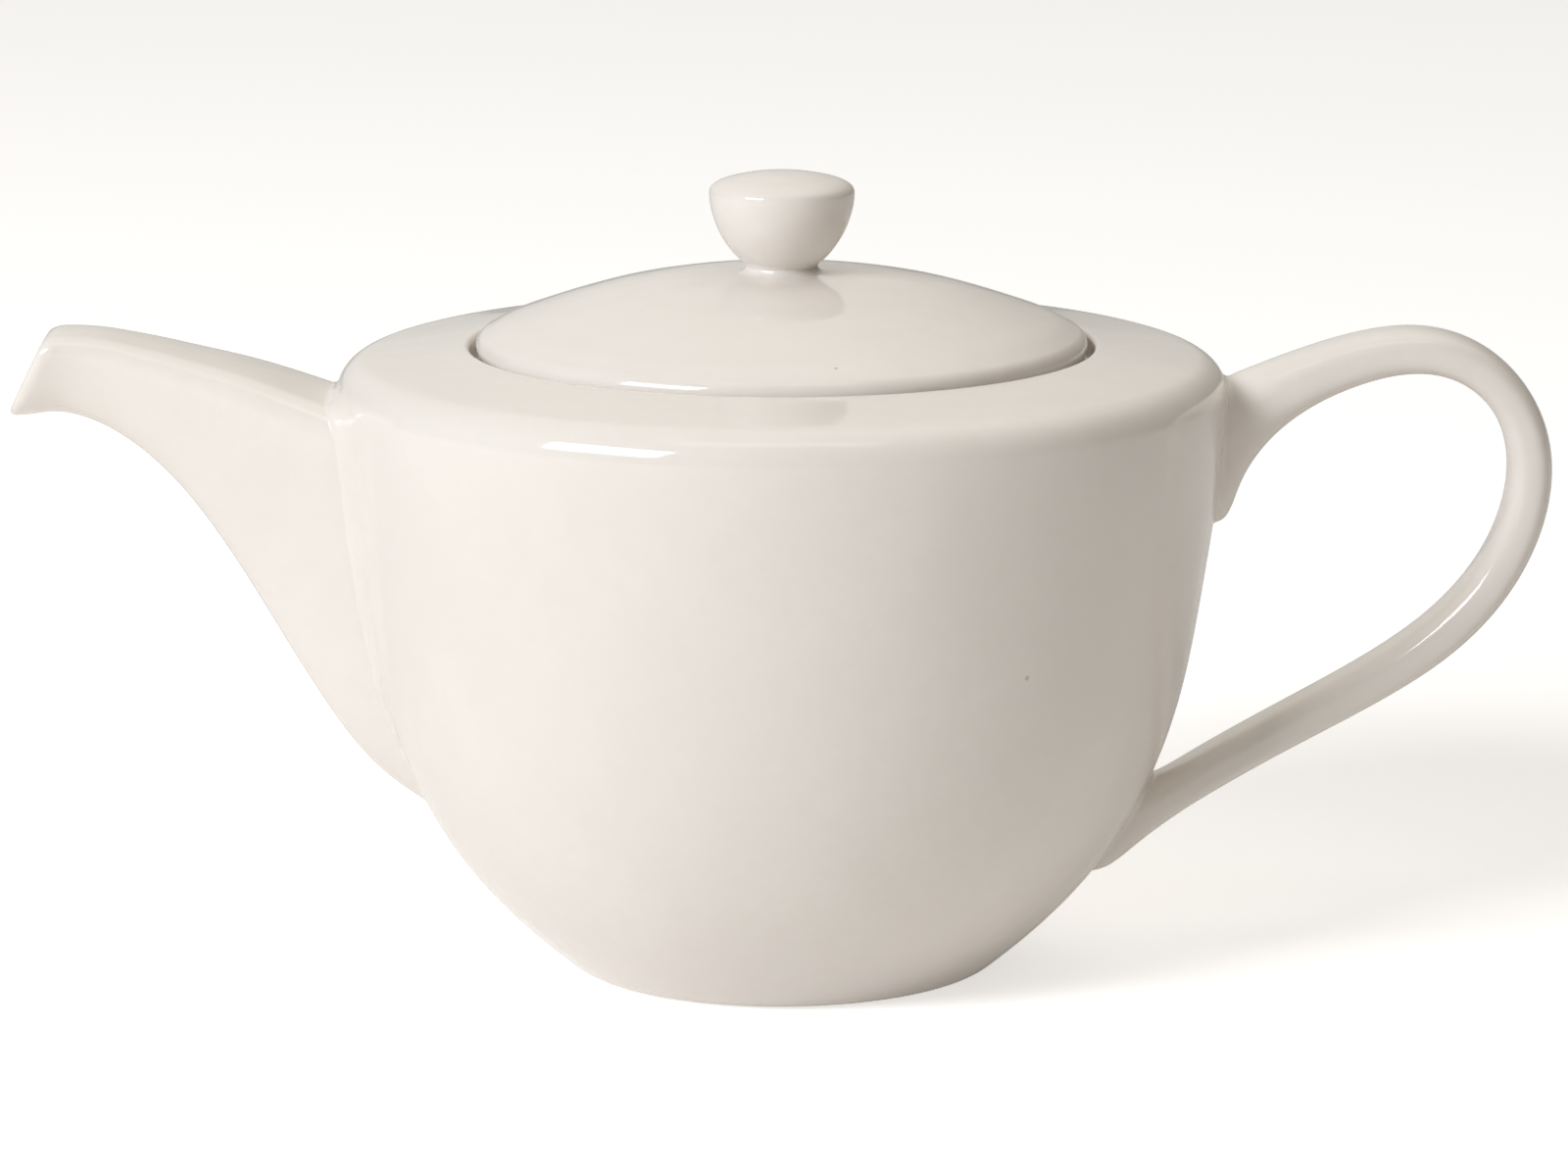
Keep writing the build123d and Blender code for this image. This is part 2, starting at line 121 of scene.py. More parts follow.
# Upper to lower root: outer point x, z; inner point x, z; half width; squareness
HANDLE_ROWS = [
    (72.09, 103.44, 71.12, 80.19, 8.6, 2.6), (76.79, 105.49, 76.90, 80.54, 8.6, 2.6),
    (79.33, 106.58, 79.59, 81.60, 8.6, 2.6), (80.90, 107.30, 80.86, 83.80, 8.6, 2.6),
    (82.35, 107.93, 82.05, 87.08, 8.5, 2.6), (84.14, 108.64, 83.94, 91.04, 8.3, 2.6),
    (86.47, 109.53, 86.83, 95.12, 8.1, 2.7), (89.39, 110.61, 90.60, 98.84, 7.8, 2.8),
    (92.91, 111.85, 94.97, 101.95, 7.6, 2.9), (97.04, 113.21, 99.58, 104.38, 7.4, 3),
    (101.72, 114.55, 104.14, 106.17, 7.3, 3), (106.83, 115.63, 108.48, 107.38, 7.2, 3),
    (112.18, 116.13, 112.57, 107.96, 7.2, 3), (117.62, 115.70, 116.44, 107.85, 7.2, 3),
    (122.96, 114.10, 120.13, 106.93, 7.2, 3), (127.98, 111.21, 123.58, 105.10, 7.2, 3),
    (132.38, 107.06, 126.59, 102.32, 7.2, 3), (135.79, 101.79, 128.90, 98.64, 7.2, 3),
    (137.87, 95.64, 130.27, 94.18, 7.2, 3), (138.40, 88.88, 130.56, 89.11, 7.2, 3),
    (137.37, 81.80, 129.70, 83.65, 7.2, 3), (134.89, 74.73, 127.72, 78.04, 7.2, 3),
    (131.14, 68.00, 124.66, 72.55, 7.2, 3), (126.30, 61.88, 120.57, 67.37, 7.2, 3),
    (120.50, 56.47, 115.51, 62.57, 7.2, 3), (113.87, 51.69, 109.51, 58.09, 7.2, 3),
    (106.66, 47.34, 102.72, 53.81, 7.2, 3), (99.22, 43.25, 95.46, 49.65, 7.2, 3),
    (92.02, 39.36, 88.30, 45.66, 7.2, 3), (85.49, 35.71, 81.85, 42.03, 7.2, 3),
    (79.85, 32.40, 76.62, 38.97, 7.25, 3), (75.08, 29.43, 72.78, 36.65, 7.35, 2.9),
    (70.98, 26.66, 70.16, 35.12, 7.5, 2.8), (67.37, 23.96, 68.39, 34.26, 7.7, 2.7),
    (64.18, 21.34, 67.07, 33.84, 7.8, 2.6), (61.47, 19.04, 65.88, 33.53, 7.9, 2.6),
    (59.23, 17.41, 64.63, 33.04, 7.9, 2.6), (57.19, 16.58, 63.21, 32.42, 7.9, 2.6),
    (54.80, 16.28, 61.36, 31.67, 7.9, 2.6), (51.61, 16.32, 58.82, 30.61, 7.9, 2.6),
]
TUCK = 0.6                          # depth under the vessel's outside to which the joins reach


# ---------------------------------------------------------------- curves
def travelled(points):
    """Distance covered at each point of a polyline, or of each of several polylines."""
    steps = np.linalg.norm(np.diff(points, axis=-2), axis=-1)
    return np.concatenate([np.zeros(steps.shape[:-1] + (1,)), np.cumsum(steps, -1)], -1)


def slopes(params, points, start=None, end=None):
    """Derivatives of the cubic spline through the points; an end without direction is natural."""
    count, gaps = len(params), np.diff(params)
    system = np.zeros((count, count))
    target = np.zeros((count, points.shape[1]))
    chords = np.diff(points, axis=0) / gaps[:, None]
    for i in range(1, count - 1):
        before, after = gaps[i - 1], gaps[i]
        system[i, i - 1:i + 2] = after, 2 * (before + after), before
        target[i] = 3 * (after * chords[i - 1] + before * chords[i])
    for i, other, given, chord in ((0, 1, start, chords[0]), (count - 1, count - 2, end, chords[-1])):
        if given is None:
            system[i, i], system[i, other] = 2, 1
            target[i] = 3 * chord
        else:
            system[i, i] = 1
            target[i] = np.array(given, float) / np.linalg.norm(given)
    return np.linalg.solve(system, target)


def evaluate(params, points, tangents, wanted):
    """Points of that spline at the wanted parameters."""
    i = np.clip(np.searchsorted(params, wanted, side="right") - 1, 0, len(params) - 2)
    gap = params[i + 1] - params[i]
    t = ((wanted - params[i]) / gap)[:, None]
    gap = gap[:, None]
    return ((2 * t ** 3 - 3 * t ** 2 + 1) * points[i]
            + (t ** 3 - 2 * t ** 2 + t) * gap * tangents[i]
            + (-2 * t ** 3 + 3 * t ** 2) * points[i + 1]
            + (t ** 3 - t ** 2) * gap * tangents[i + 1])


def curve(points, step, start=None, end=None):
    """A smooth curve through the points, as points about step apart."""
    points = np.array(points, float)
    params = travelled(points)
    wanted = np.linspace(0, params[-1], max(3, int(round(params[-1] / step)) + 1))
    return evaluate(params, points, slopes(params, points, start, end), wanted)


def line(a, b, step):
    count = max(2, int(round(math.dist(a, b) / step)) + 1)
    return np.array(a) + np.linspace(0, 1, count)[:, None] * (np.array(b, float) - np.array(a, float))


def arc(centre, radius, start, end, count):
    t = np.linspace(start, end, count)
    return np.stack([centre[0] + radius * np.cos(t), centre[1] + radius * np.sin(t)], 1)


def chain(*runs):
    """One polyline from runs that meet end to end."""
    out = [runs[0]]
    for run in runs[1:]:
        out.append(run[1:] if np.linalg.norm(run[0] - out[-1][-1]) < 1e-6 else run)
    return np.concatenate(out)


def bezier(p0, p1, p2, p3, t):
    u = 1 - t
    return u ** 3 * p0 + 3 * u * u * t * p1 + 3 * u * t * t * p2 + t ** 3 * p3


def dense_rows(rows, count):
    """A table of stations, read as smooth functions of the way along the piece."""
    rows = np.array(rows, float)
    params = travelled((rows[:, :2] + rows[:, 2:4]) / 2)
    return evaluate(params, rows, slopes(params, rows), np.linspace(0, params[-1], count))


# ---------------------------------------------------------------- meshes; a solid is (verts, faces)
def lathe(profile, count):
    """Closed turned solid. The (radius, height) profile runs from the axis below, outwards, to
    the axis above."""
    angles = np.linspace(0, 2 * math.pi, count, endpoint=False)
    circle = np.stack([np.cos(angles), np.sin(angles)], 1)
    rings = [np.concatenate([circle * r, np.full((count, 1), z)], 1) for r, z in profile[1:-1]]
    verts = np.concatenate([[[0, 0, profile[0, 1]]], *rings, [[0, 0, profile[-1, 1]]]])
    faces = []
    last = 1 + len(rings) * count
    top = last - count
    for j in range(count):
        k = (j + 1) % count
        faces.append((0, 1 + k, 1 + j))
        faces.append((top + j, top + k, last))
    for base in range(1, top, count):
        up = base + count
        faces += [(base + j, base + (j + 1) % count, up + (j + 1) % count, up + j)
                  for j in range(count)]
    return verts, faces


def rings_to_solid(rings, wrap):
    """Solid through successive rings of equal length. Wrap joins the last ring to the first;
    otherwise both ends are closed with shrinking rings."""
    size = len(rings[0])
    if not wrap:
        head, tail = ([ring.mean(0) + (ring - ring.mean(0)) * scale for scale in (0.72, 0.45, 0.2)]
                      for ring in (rings[0], rings[-1]))
        rings = head[::-1] + rings + tail
    verts = np.concatenate(rings)
    count = len(rings)
    faces = []
    for i in range(count if wrap else count - 1):
        a, b = i * size, ((i + 1) % count) * size
        faces += [(a + j, a + (j + 1) % size, b + (j + 1) % size, b + j) for j in range(size)]
    if not wrap:
        verts = np.concatenate([verts, [rings[0].mean(0)], [rings[-1].mean(0)]])
        first, last = count * size, (count - 1) * size
        faces += [(first, (j + 1) % size, j) for j in range(size)]
        faces += [(first + 1, last + j, last + (j + 1) % size) for j in range(size)]
    return verts, faces


def joined(solids):
    verts, faces, base = [], [], 0
    for points, polygons in solids:
        verts.append(points)
        faces += [tuple(i + base for i in face) for face in polygons]
        base += len(points)
    return np.concatenate(verts), faces


def new_mesh(name, solid):
    verts, faces = solid
    mesh = bpy.data.meshes.new(name)
    mesh.from_pydata([tuple(v) for v in verts * MM], [], faces)
    return mesh


def new_object(name, data):
    ob = bpy.data.objects.new(name, data)
    scene.collection.objects.link(ob)
    return ob


def shade_smooth(mesh):
    mesh.polygons.foreach_set("use_smooth", [True] * len(mesh.polygons))
    mesh.update()


def outward(mesh):
    """Turns a closed mesh so that its faces look outwards."""
    bm = bmesh.new()
    bm.from_mesh(mesh)
    bmesh.ops.recalc_face_normals(bm, faces=bm.faces[:])
    if bm.calc_volume(signed=True) < 0:
        bmesh.ops.reverse_faces(bm, faces=bm.faces[:])
    bm.to_mesh(mesh)
    bm.free()
    mesh.update()


def make_piece(node, solid, body):
    """Makes the visible piece that stands in for the CAD node."""
    name = node + "_porcelain"
    mesh = new_mesh(name, solid)
    mesh.validate()
    shade_smooth(mesh)
    ob = new_object(name, mesh)
    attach(ob, body)
    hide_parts(node)
    outward(mesh)
    return ob


def cut(ob, solid):
    """Takes a solid out of a piece and keeps the result as the piece's own mesh."""
    cutter = new_object("cutter", new_mesh("cutter", solid))
    outward(cutter.data)
    mod = ob.modifiers.new("cut", "BOOLEAN")
    mod.operation, mod.solver, mod.object = "DIFFERENCE", "EXACT", cutter
    bpy.context.view_layer.update()
    depsgraph = bpy.context.evaluated_depsgraph_get()
    made = bpy.data.meshes.new_from_object(ob.evaluated_get(depsgraph))
    ob.modifiers.clear()
    old = ob.data
    ob.data = made
    made.name = ob.name
    bpy.data.meshes.remove(old)
    bpy.data.objects.remove(cutter)
    shade_smooth(made)


def spool(point, axis, top, bottom, radius, rounding):
    """Round cutter along an axis through point, from top to bottom. It opens out at both ends so
    that the rims are soft, and overshoots them. The axis must not lie along y."""
    overshoot = 2.5
    axis = np.array(axis, float) / np.linalg.norm(axis)
    side = np.cross(axis, (0, 1, 0))
    side /= np.linalg.norm(side)
    other = np.cross(axis, side)
    wide = radius + rounding
    turns = np.linspace(0, QUARTER, 7)
    profile = [(top + overshoot, wide)]
    profile += [(top - rounding + rounding * math.cos(t), wide - rounding * math.sin(t))
                for t in turns]
    profile += [(bottom + rounding - rounding * math.sin(t), wide - rounding * math.cos(t))
                for t in turns]
    profile += [(bottom - overshoot, wide)]
    angles = np.linspace(0, 2 * math.pi, 40, endpoint=False)
    circle = np.cos(angles)[:, None] * side + np.sin(angles)[:, None] * other
    return rings_to_solid([np.array(point) + axis * s + r * circle for s, r in profile], wrap=False)


# ---------------------------------------------------------------- vessel
def outer_profile(step, dense=1):
    """Outside from the standing ring to the opening, and the centre of the opening's lip."""
    foot = arc((FOOT_OUTER_R, FOOT_ROUND_R), FOOT_ROUND_R, -QUARTER, -FOOT_TILT, 7 * dense)
    wall = curve([foot[-1]] + WALL_POINTS + [(SHOULDER_R, SHOULDER_Z)], step,
                 (math.sin(FOOT_TILT), math.cos(FOOT_TILT)), (0, 1))
    shoulder = arc((SHOULDER_R - SHOULDER_ROUND_R, SHOULDER_Z), SHOULDER_ROUND_R,
                   0, QUARTER - SHOULDER_SLOPE, 15 * dense)
    lip_r = OPENING_R + OPENING_LIP_R * (1 + math.sin(SHOULDER_SLOPE))
    lip_z = shoulder[-1, 1] + (shoulder[-1, 0] - lip_r) * math.tan(SHOULDER_SLOPE)
    top = line(shoulder[-1], (lip_r, lip_z), step * 1.2)
    lip_centre = (OPENING_R + OPENING_LIP_R, lip_z - OPENING_LIP_R * math.cos(SHOULDER_SLOPE))
    lip = arc(lip_centre, OPENING_LIP_R, QUARTER - SHOULDER_SLOPE, math.pi, 9 * dense)
    return chain(foot, wall, shoulder, top, lip), lip_centre


def inner_wall(step):
    """Inside of the vessel, from under the ledge down to the floor."""
    return curve([INNER_TOP] + INNER_WALL[::-1] + [INNER_FOOT, (FLOOR_R, FLOOR_Z)], step,
                 (0, -1), (-1, 0))


OUTSIDE = outer_profile(0.08, 12)[0]
OUTSIDE_TANGENTS = np.gradient(OUTSIDE, axis=0)
OUTSIDE_TANGENTS /= np.linalg.norm(OUTSIDE_TANGENTS, axis=1)[:, None]
OUTSIDE_NORMALS = np.stack([OUTSIDE_TANGENTS[:, 1], -OUTSIDE_TANGENTS[:, 0]], 1)


def wall_at(points):
    """Signed distance of points from the outside of the vessel (positive outside), the nearest
    point on it and its outward normal."""
    radii = np.hypot(points[:, 0], points[:, 1])
    flat = np.stack([radii, points[:, 2]], 1)
    count = len(points)
    distance, nearest, normals = np.zeros(count), np.zeros((count, 3)), np.zeros((count, 3))
    batch = 2000                    # bounds the size of the distance table
    for s in range(0, count, batch):
        span = slice(s, s + batch)
        part = flat[span]
        i = ((part[:, None, :] - OUTSIDE[None]) ** 2).sum(2).argmin(1)
        normal, tangent = OUTSIDE_NORMALS[i], OUTSIDE_TANGENTS[i]
        offset = part - OUTSIDE[i]
        near = OUTSIDE[i] + (offset * tangent).sum(1)[:, None] * tangent
        distance[span] = (offset * normal).sum(1)
        heading = points[span, :2] / radii[span, None]
        nearest[span] = np.concatenate([heading * near[:, :1], near[:, 1:]], 1)
        normals[span] = np.concatenate([heading * normal[:, :1], normal[:, 1:]], 1)
    return distance, nearest, normals


def under_wall(points, depth):
    """The points moved to the given depth under the vessel's outside."""
    _, on, normals = wall_at(points)
    return on - normals * depth


def vessel_profile():
    outer, lip_centre = outer_profile(1.55)
    seat_r, seat_corner_z = OPENING_R - SEAT_CORNER_R, SEAT_Z + SEAT_CORNER_R
    top_r, top_z = THROAT_R + THROAT_TOP_ROUND_R, SEAT_Z - THROAT_TOP_ROUND_R
    low_r, low_z = THROAT_R + THROAT_LOW_ROUND_R, LEDGE_UNDER_Z + THROAT_LOW_ROUND_R
    ledge = [(r, LEDGE_UNDER_Z + z) for r, z in LEDGE_UNDER]
    return chain(
        line((0, RECESS_H), RECESS_SIDE[0], 2.4),
        curve(RECESS_SIDE, 0.35, (1, 0), RECESS_SLOPE),
        curve(RECESS_RIM, 0.2, RECESS_SLOPE, (1, 0)),
        line(RECESS_RIM[-1], (FOOT_OUTER_R, 0), 0.6),
        outer,
        line((OPENING_R, lip_centre[1]), (OPENING_R, seat_corner_z), 0.8),
        arc((seat_r, seat_corner_z), SEAT_CORNER_R, 0, -QUARTER, 6),
        line((seat_r, SEAT_Z), (top_r, SEAT_Z), 0.9),
        arc((top_r, top_z), THROAT_TOP_ROUND_R, QUARTER, 2 * QUARTER, 6),
        line((THROAT_R, top_z), (THROAT_R, low_z), 0.8),
        arc((low_r, low_z), THROAT_LOW_ROUND_R, 2 * QUARTER, 3 * QUARTER, 7),
        curve([(low_r, LEDGE_UNDER_Z)] + ledge + [INNER_TOP], 1.5, (1, 0), (0, -1)),
        inner_wall(2.0),
        line((FLOOR_R, FLOOR_Z), (0, FLOOR_Z), 3.0))


def hole_cutter(y, z, inside):
    """Cutter square to the wall, as long as the wall is thick there."""
    _, on, normal = wall_at(np.array([[-math.sqrt(HOLE_AIM_R ** 2 - y ** 2), y, z]]))
    on, normal = on[0], normal[0]
    depths = np.arange(0, 7, 0.02)
    points = on - depths[:, None] * normal
    inner_r = np.interp(points[:, 2], inside[::-1, 1], inside[::-1, 0])
    through = depths[np.argmax(np.hypot(points[:, 0], points[:, 1]) < inner_r)]
    return spool(on, normal, top=-0.03, bottom=-through, radius=HOLE_R, rounding=HOLE_ROUND_R)


def make_vessel():
    vessel = make_piece("pot_body", lathe(vessel_profile(), 320), "pot")
    inside = inner_wall(0.1)
    cut(vessel, joined([hole_cutter(y, HOLE_TOP_Z - HOLE_ROW_PITCH * row, inside)
                        for row, places in enumerate(HOLE_ROWS) for y in places]))
    return vessel


# ---------------------------------------------------------------- joins with the vessel
# Spout and handle are bundles of lengthwise lines, as arrays (around, along, 3). A place on each
# line is given as a fractional index along it.
def unit(v):
    return v / np.maximum(np.linalg.norm(v, axis=-1, keepdims=True), 1e-12)


def square_to(v, axis):
    """Unit vectors along the part of v that is square to the unit vectors axis."""
    return unit(v - (v * axis).sum(1)[:, None] * axis)


def ease(t):
    t = np.clip(t, 0, 1)
    return t * t * (3 - 2 * t)


def evened(values, passes):
    """Values around a ring, smoothed with their neighbours."""
    for _ in range(passes):
        values = (np.roll(values, 1, 0) + 2 * values + np.roll(values, -1, 0)) / 4
    return values


def sample(lines, index):
    i = np.clip(index.astype(int), 0, lines.shape[1] - 2)
    share = (index - i)[:, None]
    each = np.arange(len(lines))
    return lines[each, i] * (1 - share) + lines[each, i + 1] * share


def index_at(lines, lengths):
    """The index on every line at the given length from its start."""
    return np.array([np.interp(length, total, np.arange(len(total)))
                     for length, total in zip(lengths, travelled(lines))])


def wall_crossing(lines, depth=0.0):
    """The index at which every line passes the given depth under the vessel's outside."""
    above = wall_at(lines.reshape(-1, 3))[0].reshape(lines.shape[:2]) + depth
    hit = np.zeros(len(lines))
    for j, height in enumerate(above):
        i = np.nonzero((height[:-1] > 0) & (height[1:] <= 0))[0][0]
        hit[j] = i + height[i] / (height[i] - height[i + 1])
    return hit


def skirt(lines, radius, steps, reach=0.0):
    """Fillet from a piece down onto the vessel; the lines run from free air into the vessel.

    Radius is the fillet's radius at each line, and reach is how much farther it runs out on the
    vessel than on the piece. Returns the index at which the fillet starts on each line, and the
    rings of the fillet down onto the vessel and just under its surface."""
    def to_air(index):
        return unit(sample(lines, index - 1.5) - sample(lines, index + 1.5))

    count, samples = lines.shape[:2]
    hit = wall_crossing(lines)
    corner = sample(lines, hit)
    wall_normal = wall_at(corner)[2]
    air = to_air(hit)

    # The piece's own normal, from its rings at equal index, not from the slanting seam
    each = np.arange(count)
    i = np.clip(np.round(hit).astype(int), 1, samples - 2)
    around = unit(lines[(each + 1) % count, i] - lines[(each - 1) % count, i])
    piece_normal = unit(np.cross(around, air))
    piece_normal *= np.sign(((corner - corner.mean(0)) * piece_normal).sum(1).sum())

    side = square_to(piece_normal, wall_normal)
    seam = np.cross(wall_normal, side)
    slip = (air * seam).sum(1)
    lean = np.sqrt(np.maximum(1 - slip ** 2, 0.05))
    angle = np.arccos(np.clip((square_to(air, seam) * side).sum(1), -0.98, 0.98))
    setback = evened(radius / np.tan(angle / 2), 3)
    pull = 4 / 3 * np.tan((math.pi - angle) / 4) * np.tan(angle / 2)

    here = np.array([np.interp(index, np.arange(samples), total)
                     for index, total in zip(hit, travelled(lines))])
    start = index_at(lines, here - setback / lean)
    upper = sample(lines, start)
    moved = corner + ((upper - corner) * seam).sum(1)[:, None] * seam
    far = setback + reach
    calm = square_to(evened(side, 6), wall_normal)
    _, lower, lower_normal = wall_at(moved + setback[:, None] * side
                                     + (far - setback)[:, None] * calm)
    inward = square_to(moved - lower, lower_normal)
    upper_arm = -to_air(start) * (np.linalg.norm(moved - upper, axis=1) * pull)[:, None]
    lower_arm = inward * (far * pull)[:, None]
    rings = [bezier(upper, upper + upper_arm, lower + lower_arm, lower, t)
             for t in np.linspace(0, 1, steps + 1)[1:]]

    # Past the fillet the surface sinks gently: (share of the spread, depth)
    spread = np.minimum(0.35 * radius + 0.45, 1.5)
    for share, depth in ((0.3, 0.0035), (0.62, 0.018), (0.9, 0.07), (1.0, TUCK)):
        rings.append(under_wall(lower - inward * (spread * share)[:, None], depth))
    return start, rings


# ---------------------------------------------------------------- spout
SPLITS = [4, 4, 4, 3, 3, 3, 3, 5, 5, 5, 5, 5, 4, 4]   # samples between outline points, crown to keel
CIRCLE_PULL = 0.5523                # handle length of a cubic quarter circle


def spout_half(height, half_width, corner_r, taper):
    """Half of a cross-section as (distance below the crown, y): a slightly domed crown, a round
    corner and a flank that tapers to the keel."""
    dome, flat = 0.035 * half_width, half_width - corner_r
    points = [(0.0, 0.0), (dome * 0.11, flat / 3), (dome * 0.44, flat * 2 / 3)]
    for i in range(5):
        angle = math.radians(90 - 22.5 * i)
        points.append((dome + corner_r * (1 - math.sin(angle)), flat + corner_r * math.cos(angle)))
    flank = dome + corner_r
    controls = [np.array(c) for c in (
        (flank, half_width),
        (flank + (0.62 - 0.25 * taper) * (height - flank), half_width * (1 - taper)),
        (height, half_width * (0.60 - 0.5 * taper)),
        (height, 0.0))]
    return points + [tuple(bezier(*controls, t)) for t in (0.16, 0.32, 0.48, 0.64, 0.80, 0.91, 1.0)]


def loop_curve(points, splits):
    """Closed smooth curve through the points, with the given samples in each interval."""
    points = np.array(points, float)
    wrapped = np.concatenate([points[-4:], points, points[:5]])
    params = travelled(wrapped)
    wanted = np.concatenate([params[i] + (params[i + 1] - params[i]) * np.arange(split) / split
                             for i, split in enumerate(splits, 4)])
    return evaluate(params, wrapped, slopes(params, wrapped), wanted)


def spout_ring(row, inset=0.0):
    crown_x, crown_z, keel_x, keel_z, half_width, corner_r, taper = row
    height = math.hypot(keel_x - crown_x, keel_z - crown_z)
    down_x, down_z = (keel_x - crown_x) / height, (keel_z - crown_z) / height
    half = spout_half(height - 2 * inset, half_width - inset, max(corner_r - inset * 0.8, 0.8), taper)
    loop = loop_curve(half + [(s, -y) for s, y in half[-2:0:-1]], SPLITS + SPLITS[::-1])
    below = loop[:, 0] + inset
    return np.stack([crown_x + down_x * below, loop[:, 1], crown_z + down_z * below], 1)


def make_spout():
    rows = dense_rows(SPOUT_ROWS, 420)
    skin = np.stack([spout_ring(row) for row in rows], 1)
    bore = np.stack([spout_ring(row, SPOUT_WALL) for row in rows], 1)
    half = len(skin) // 2
    share = np.abs(np.arange(len(skin)) - half) / half      # 1 at the crown, 0 at the keel

    # Fillet: 0.7 mm at the keel, 2.3 on the flanks, about 1.4 at the crown
    grow = np.clip((share - 0.10) / 0.30, 0, 1) ** 1.2
    thin = 1 - 0.55 * np.clip((share - 0.72) / 0.2, 0, 1)
    fillet = 0.7 + 1.6 * grow * thin
    # It runs out up to 9 mm farther on the flanks
    runout = 9.0 * ease((share - 0.15) / 0.36) * (1 - ease((share - 0.60) / 0.24))
    start, fillet_rings = skirt(skin, fillet, 16, runout)

    # Depth of the rounded rim: 1.6 mm at the keel, 2.7 at the crown, a little more in between
    lip = 1.6 + 1.1 * np.clip(share / 0.35, 0, 1) ** 2 + 0.4 * np.exp(-((share - 0.66) / 0.12) ** 2)
    lip = evened(lip, 4)
    outer = index_at(skin, lip)
    inner = index_at(bore, np.minimum(lip, 1.5))

    # Outside from mouth to vessel, across to the bore, and back out through the bore
    rings = [sample(skin, outer + (start - outer) * f) for f in np.linspace(0, 1, 150)]
    rings += fillet_rings
    stop = wall_crossing(bore, TUCK)
    last, end = rings[-1], sample(bore, stop)
    rings += [under_wall(last * (1 - f) + end * f, TUCK) for f in (0.33, 0.67)]
    rings += [sample(bore, inner + (stop - inner) * f) for f in np.linspace(1, 0, 90)]

    # Rounded rim: bore to apex, then apex to outside
    apex = (bore[:, 0] + skin[:, 0]) / 2

    def rim_quarter(foot, corner):
        return [bezier(foot, foot + (corner - foot) * CIRCLE_PULL,
                       apex + (corner - apex) * CIRCLE_PULL, apex, t)
                for t in np.linspace(0, 1, 9)[1:]]

    rings += rim_quarter(sample(bore, inner), bore[:, 0])
    rings += rim_quarter(sample(skin, outer), skin[:, 0])[-2::-1]
    return make_piece("spout", rings_to_solid(rings, wrap=True), "pot")


# ---------------------------------------------------------------- handle
def handle_ring(row, count=80):
    """Superellipse across the strap, with points spread evenly along its outline."""
    outer_x, outer_z, inner_x, inner_z, half_width, squareness = row
    half = math.hypot(inner_x - outer_x, inner_z - outer_z) / 2
    out_x, out_z = (outer_x - inner_x) / (2 * half), (outer_z - inner_z) / (2 * half)
    t = 2 * math.pi * (np.arange(count) + 0.5) / count
    ring = np.stack([np.sign(wave) * np.abs(wave) ** (2 / squareness) * size
                     for wave, size in ((np.cos(t), half), (np.sin(t), half_width))], 1)
    closed = np.concatenate([ring, ring[:1]])
    total = travelled(closed)
    even = (np.arange(count) + 0.5) / count * total[-1]
    out, y = np.interp(even, total, closed[:, 0]), np.interp(even, total, closed[:, 1])
    return np.stack([(outer_x + inner_x) / 2 + out_x * out, y,
                     (outer_z + inner_z) / 2 + out_z * out], 1)


def make_handle():
    strap = np.stack([handle_ring(row) for row in dense_rows(HANDLE_ROWS, 900)], 1)
    count = len(strap)
    middle = strap.shape[1] // 2
    top_start, top_rings = skirt(strap[:, middle::-1], np.full(count, 1.0), 7)
    low_start, low_rings = skirt(strap[:, middle:], np.full(count, 0.9), 7)
    top, low = middle - top_start, middle + low_start
    rings = top_rings[::-1]
    rings += [sample(strap, top + (low - top) * f) for f in np.linspace(0, 1, 300)]
    rings += low_rings
    return make_piece("handle", rings_to_solid(rings, wrap=False), "pot")


# ---------------------------------------------------------------- lid and knob
def joint_face():
    """Face between lid and knob, from the axis to the waist."""
    corner = (WAIST_R - JOINT_BEVEL, WAIST_Z - JOINT_DROP)
    return chain(line((0, WAIST_Z - JOINT_DROP), corner, 1.4),
                 line(corner, (WAIST_R, WAIST_Z), 0.9))


def lid_profile():
    """From the joint with the knob, over the dome and the edge, to the underside."""
    (before_r, before_z), (edge_r, edge_z) = LID_DOME[-2:]
    slope = math.atan2(before_z - edge_z, edge_r - before_r) + 0.05
    rim = arc((LID_R - LID_EDGE_ROUND_R, LID_EDGE_Z), LID_EDGE_ROUND_R, QUARTER - slope, 0, 12)
    tip_r, tip_z = FLANGE_R - FLANGE_DRAFT, FLANGE_Z + FLANGE_T / 2
    neck_r, neck_z = FLANGE_R + FLANGE_ROUND_R, SEAT_Z - FLANGE_ROUND_R
    return chain(
        joint_face(),
        curve([(WAIST_R, WAIST_Z), (WAIST_R + 0.22, WAIST_Z - 0.6), (WAIST_R + 0.8, WAIST_Z - 1.05),
               LID_DOME[0]], 0.14, (0, -1), DOME_START),
        curve(LID_DOME + [tuple(rim[0])], 1.1, DOME_START, (math.cos(slope), -math.sin(slope))),
        rim,
        curve([(LID_R, LID_EDGE_Z)] + LID_EDGE_UNDER, 0.5, (0, -1), (-1, 0)),
        line(LID_EDGE_UNDER[-1], (neck_r, SEAT_Z), 0.7),
        arc((neck_r, neck_z), FLANGE_ROUND_R, QUARTER, 2 * QUARTER, 6),
        line((FLANGE_R, neck_z), (tip_r, tip_z), 1.2),
        arc((tip_r - FLANGE_T / 2, tip_z), FLANGE_T / 2, 0, -math.pi, 12),
        line((tip_r - FLANGE_T, tip_z), LID_UNDERSIDE[0], 1.2),
        curve(LID_UNDERSIDE, 1.6, (0, 1), (-1, 0)))


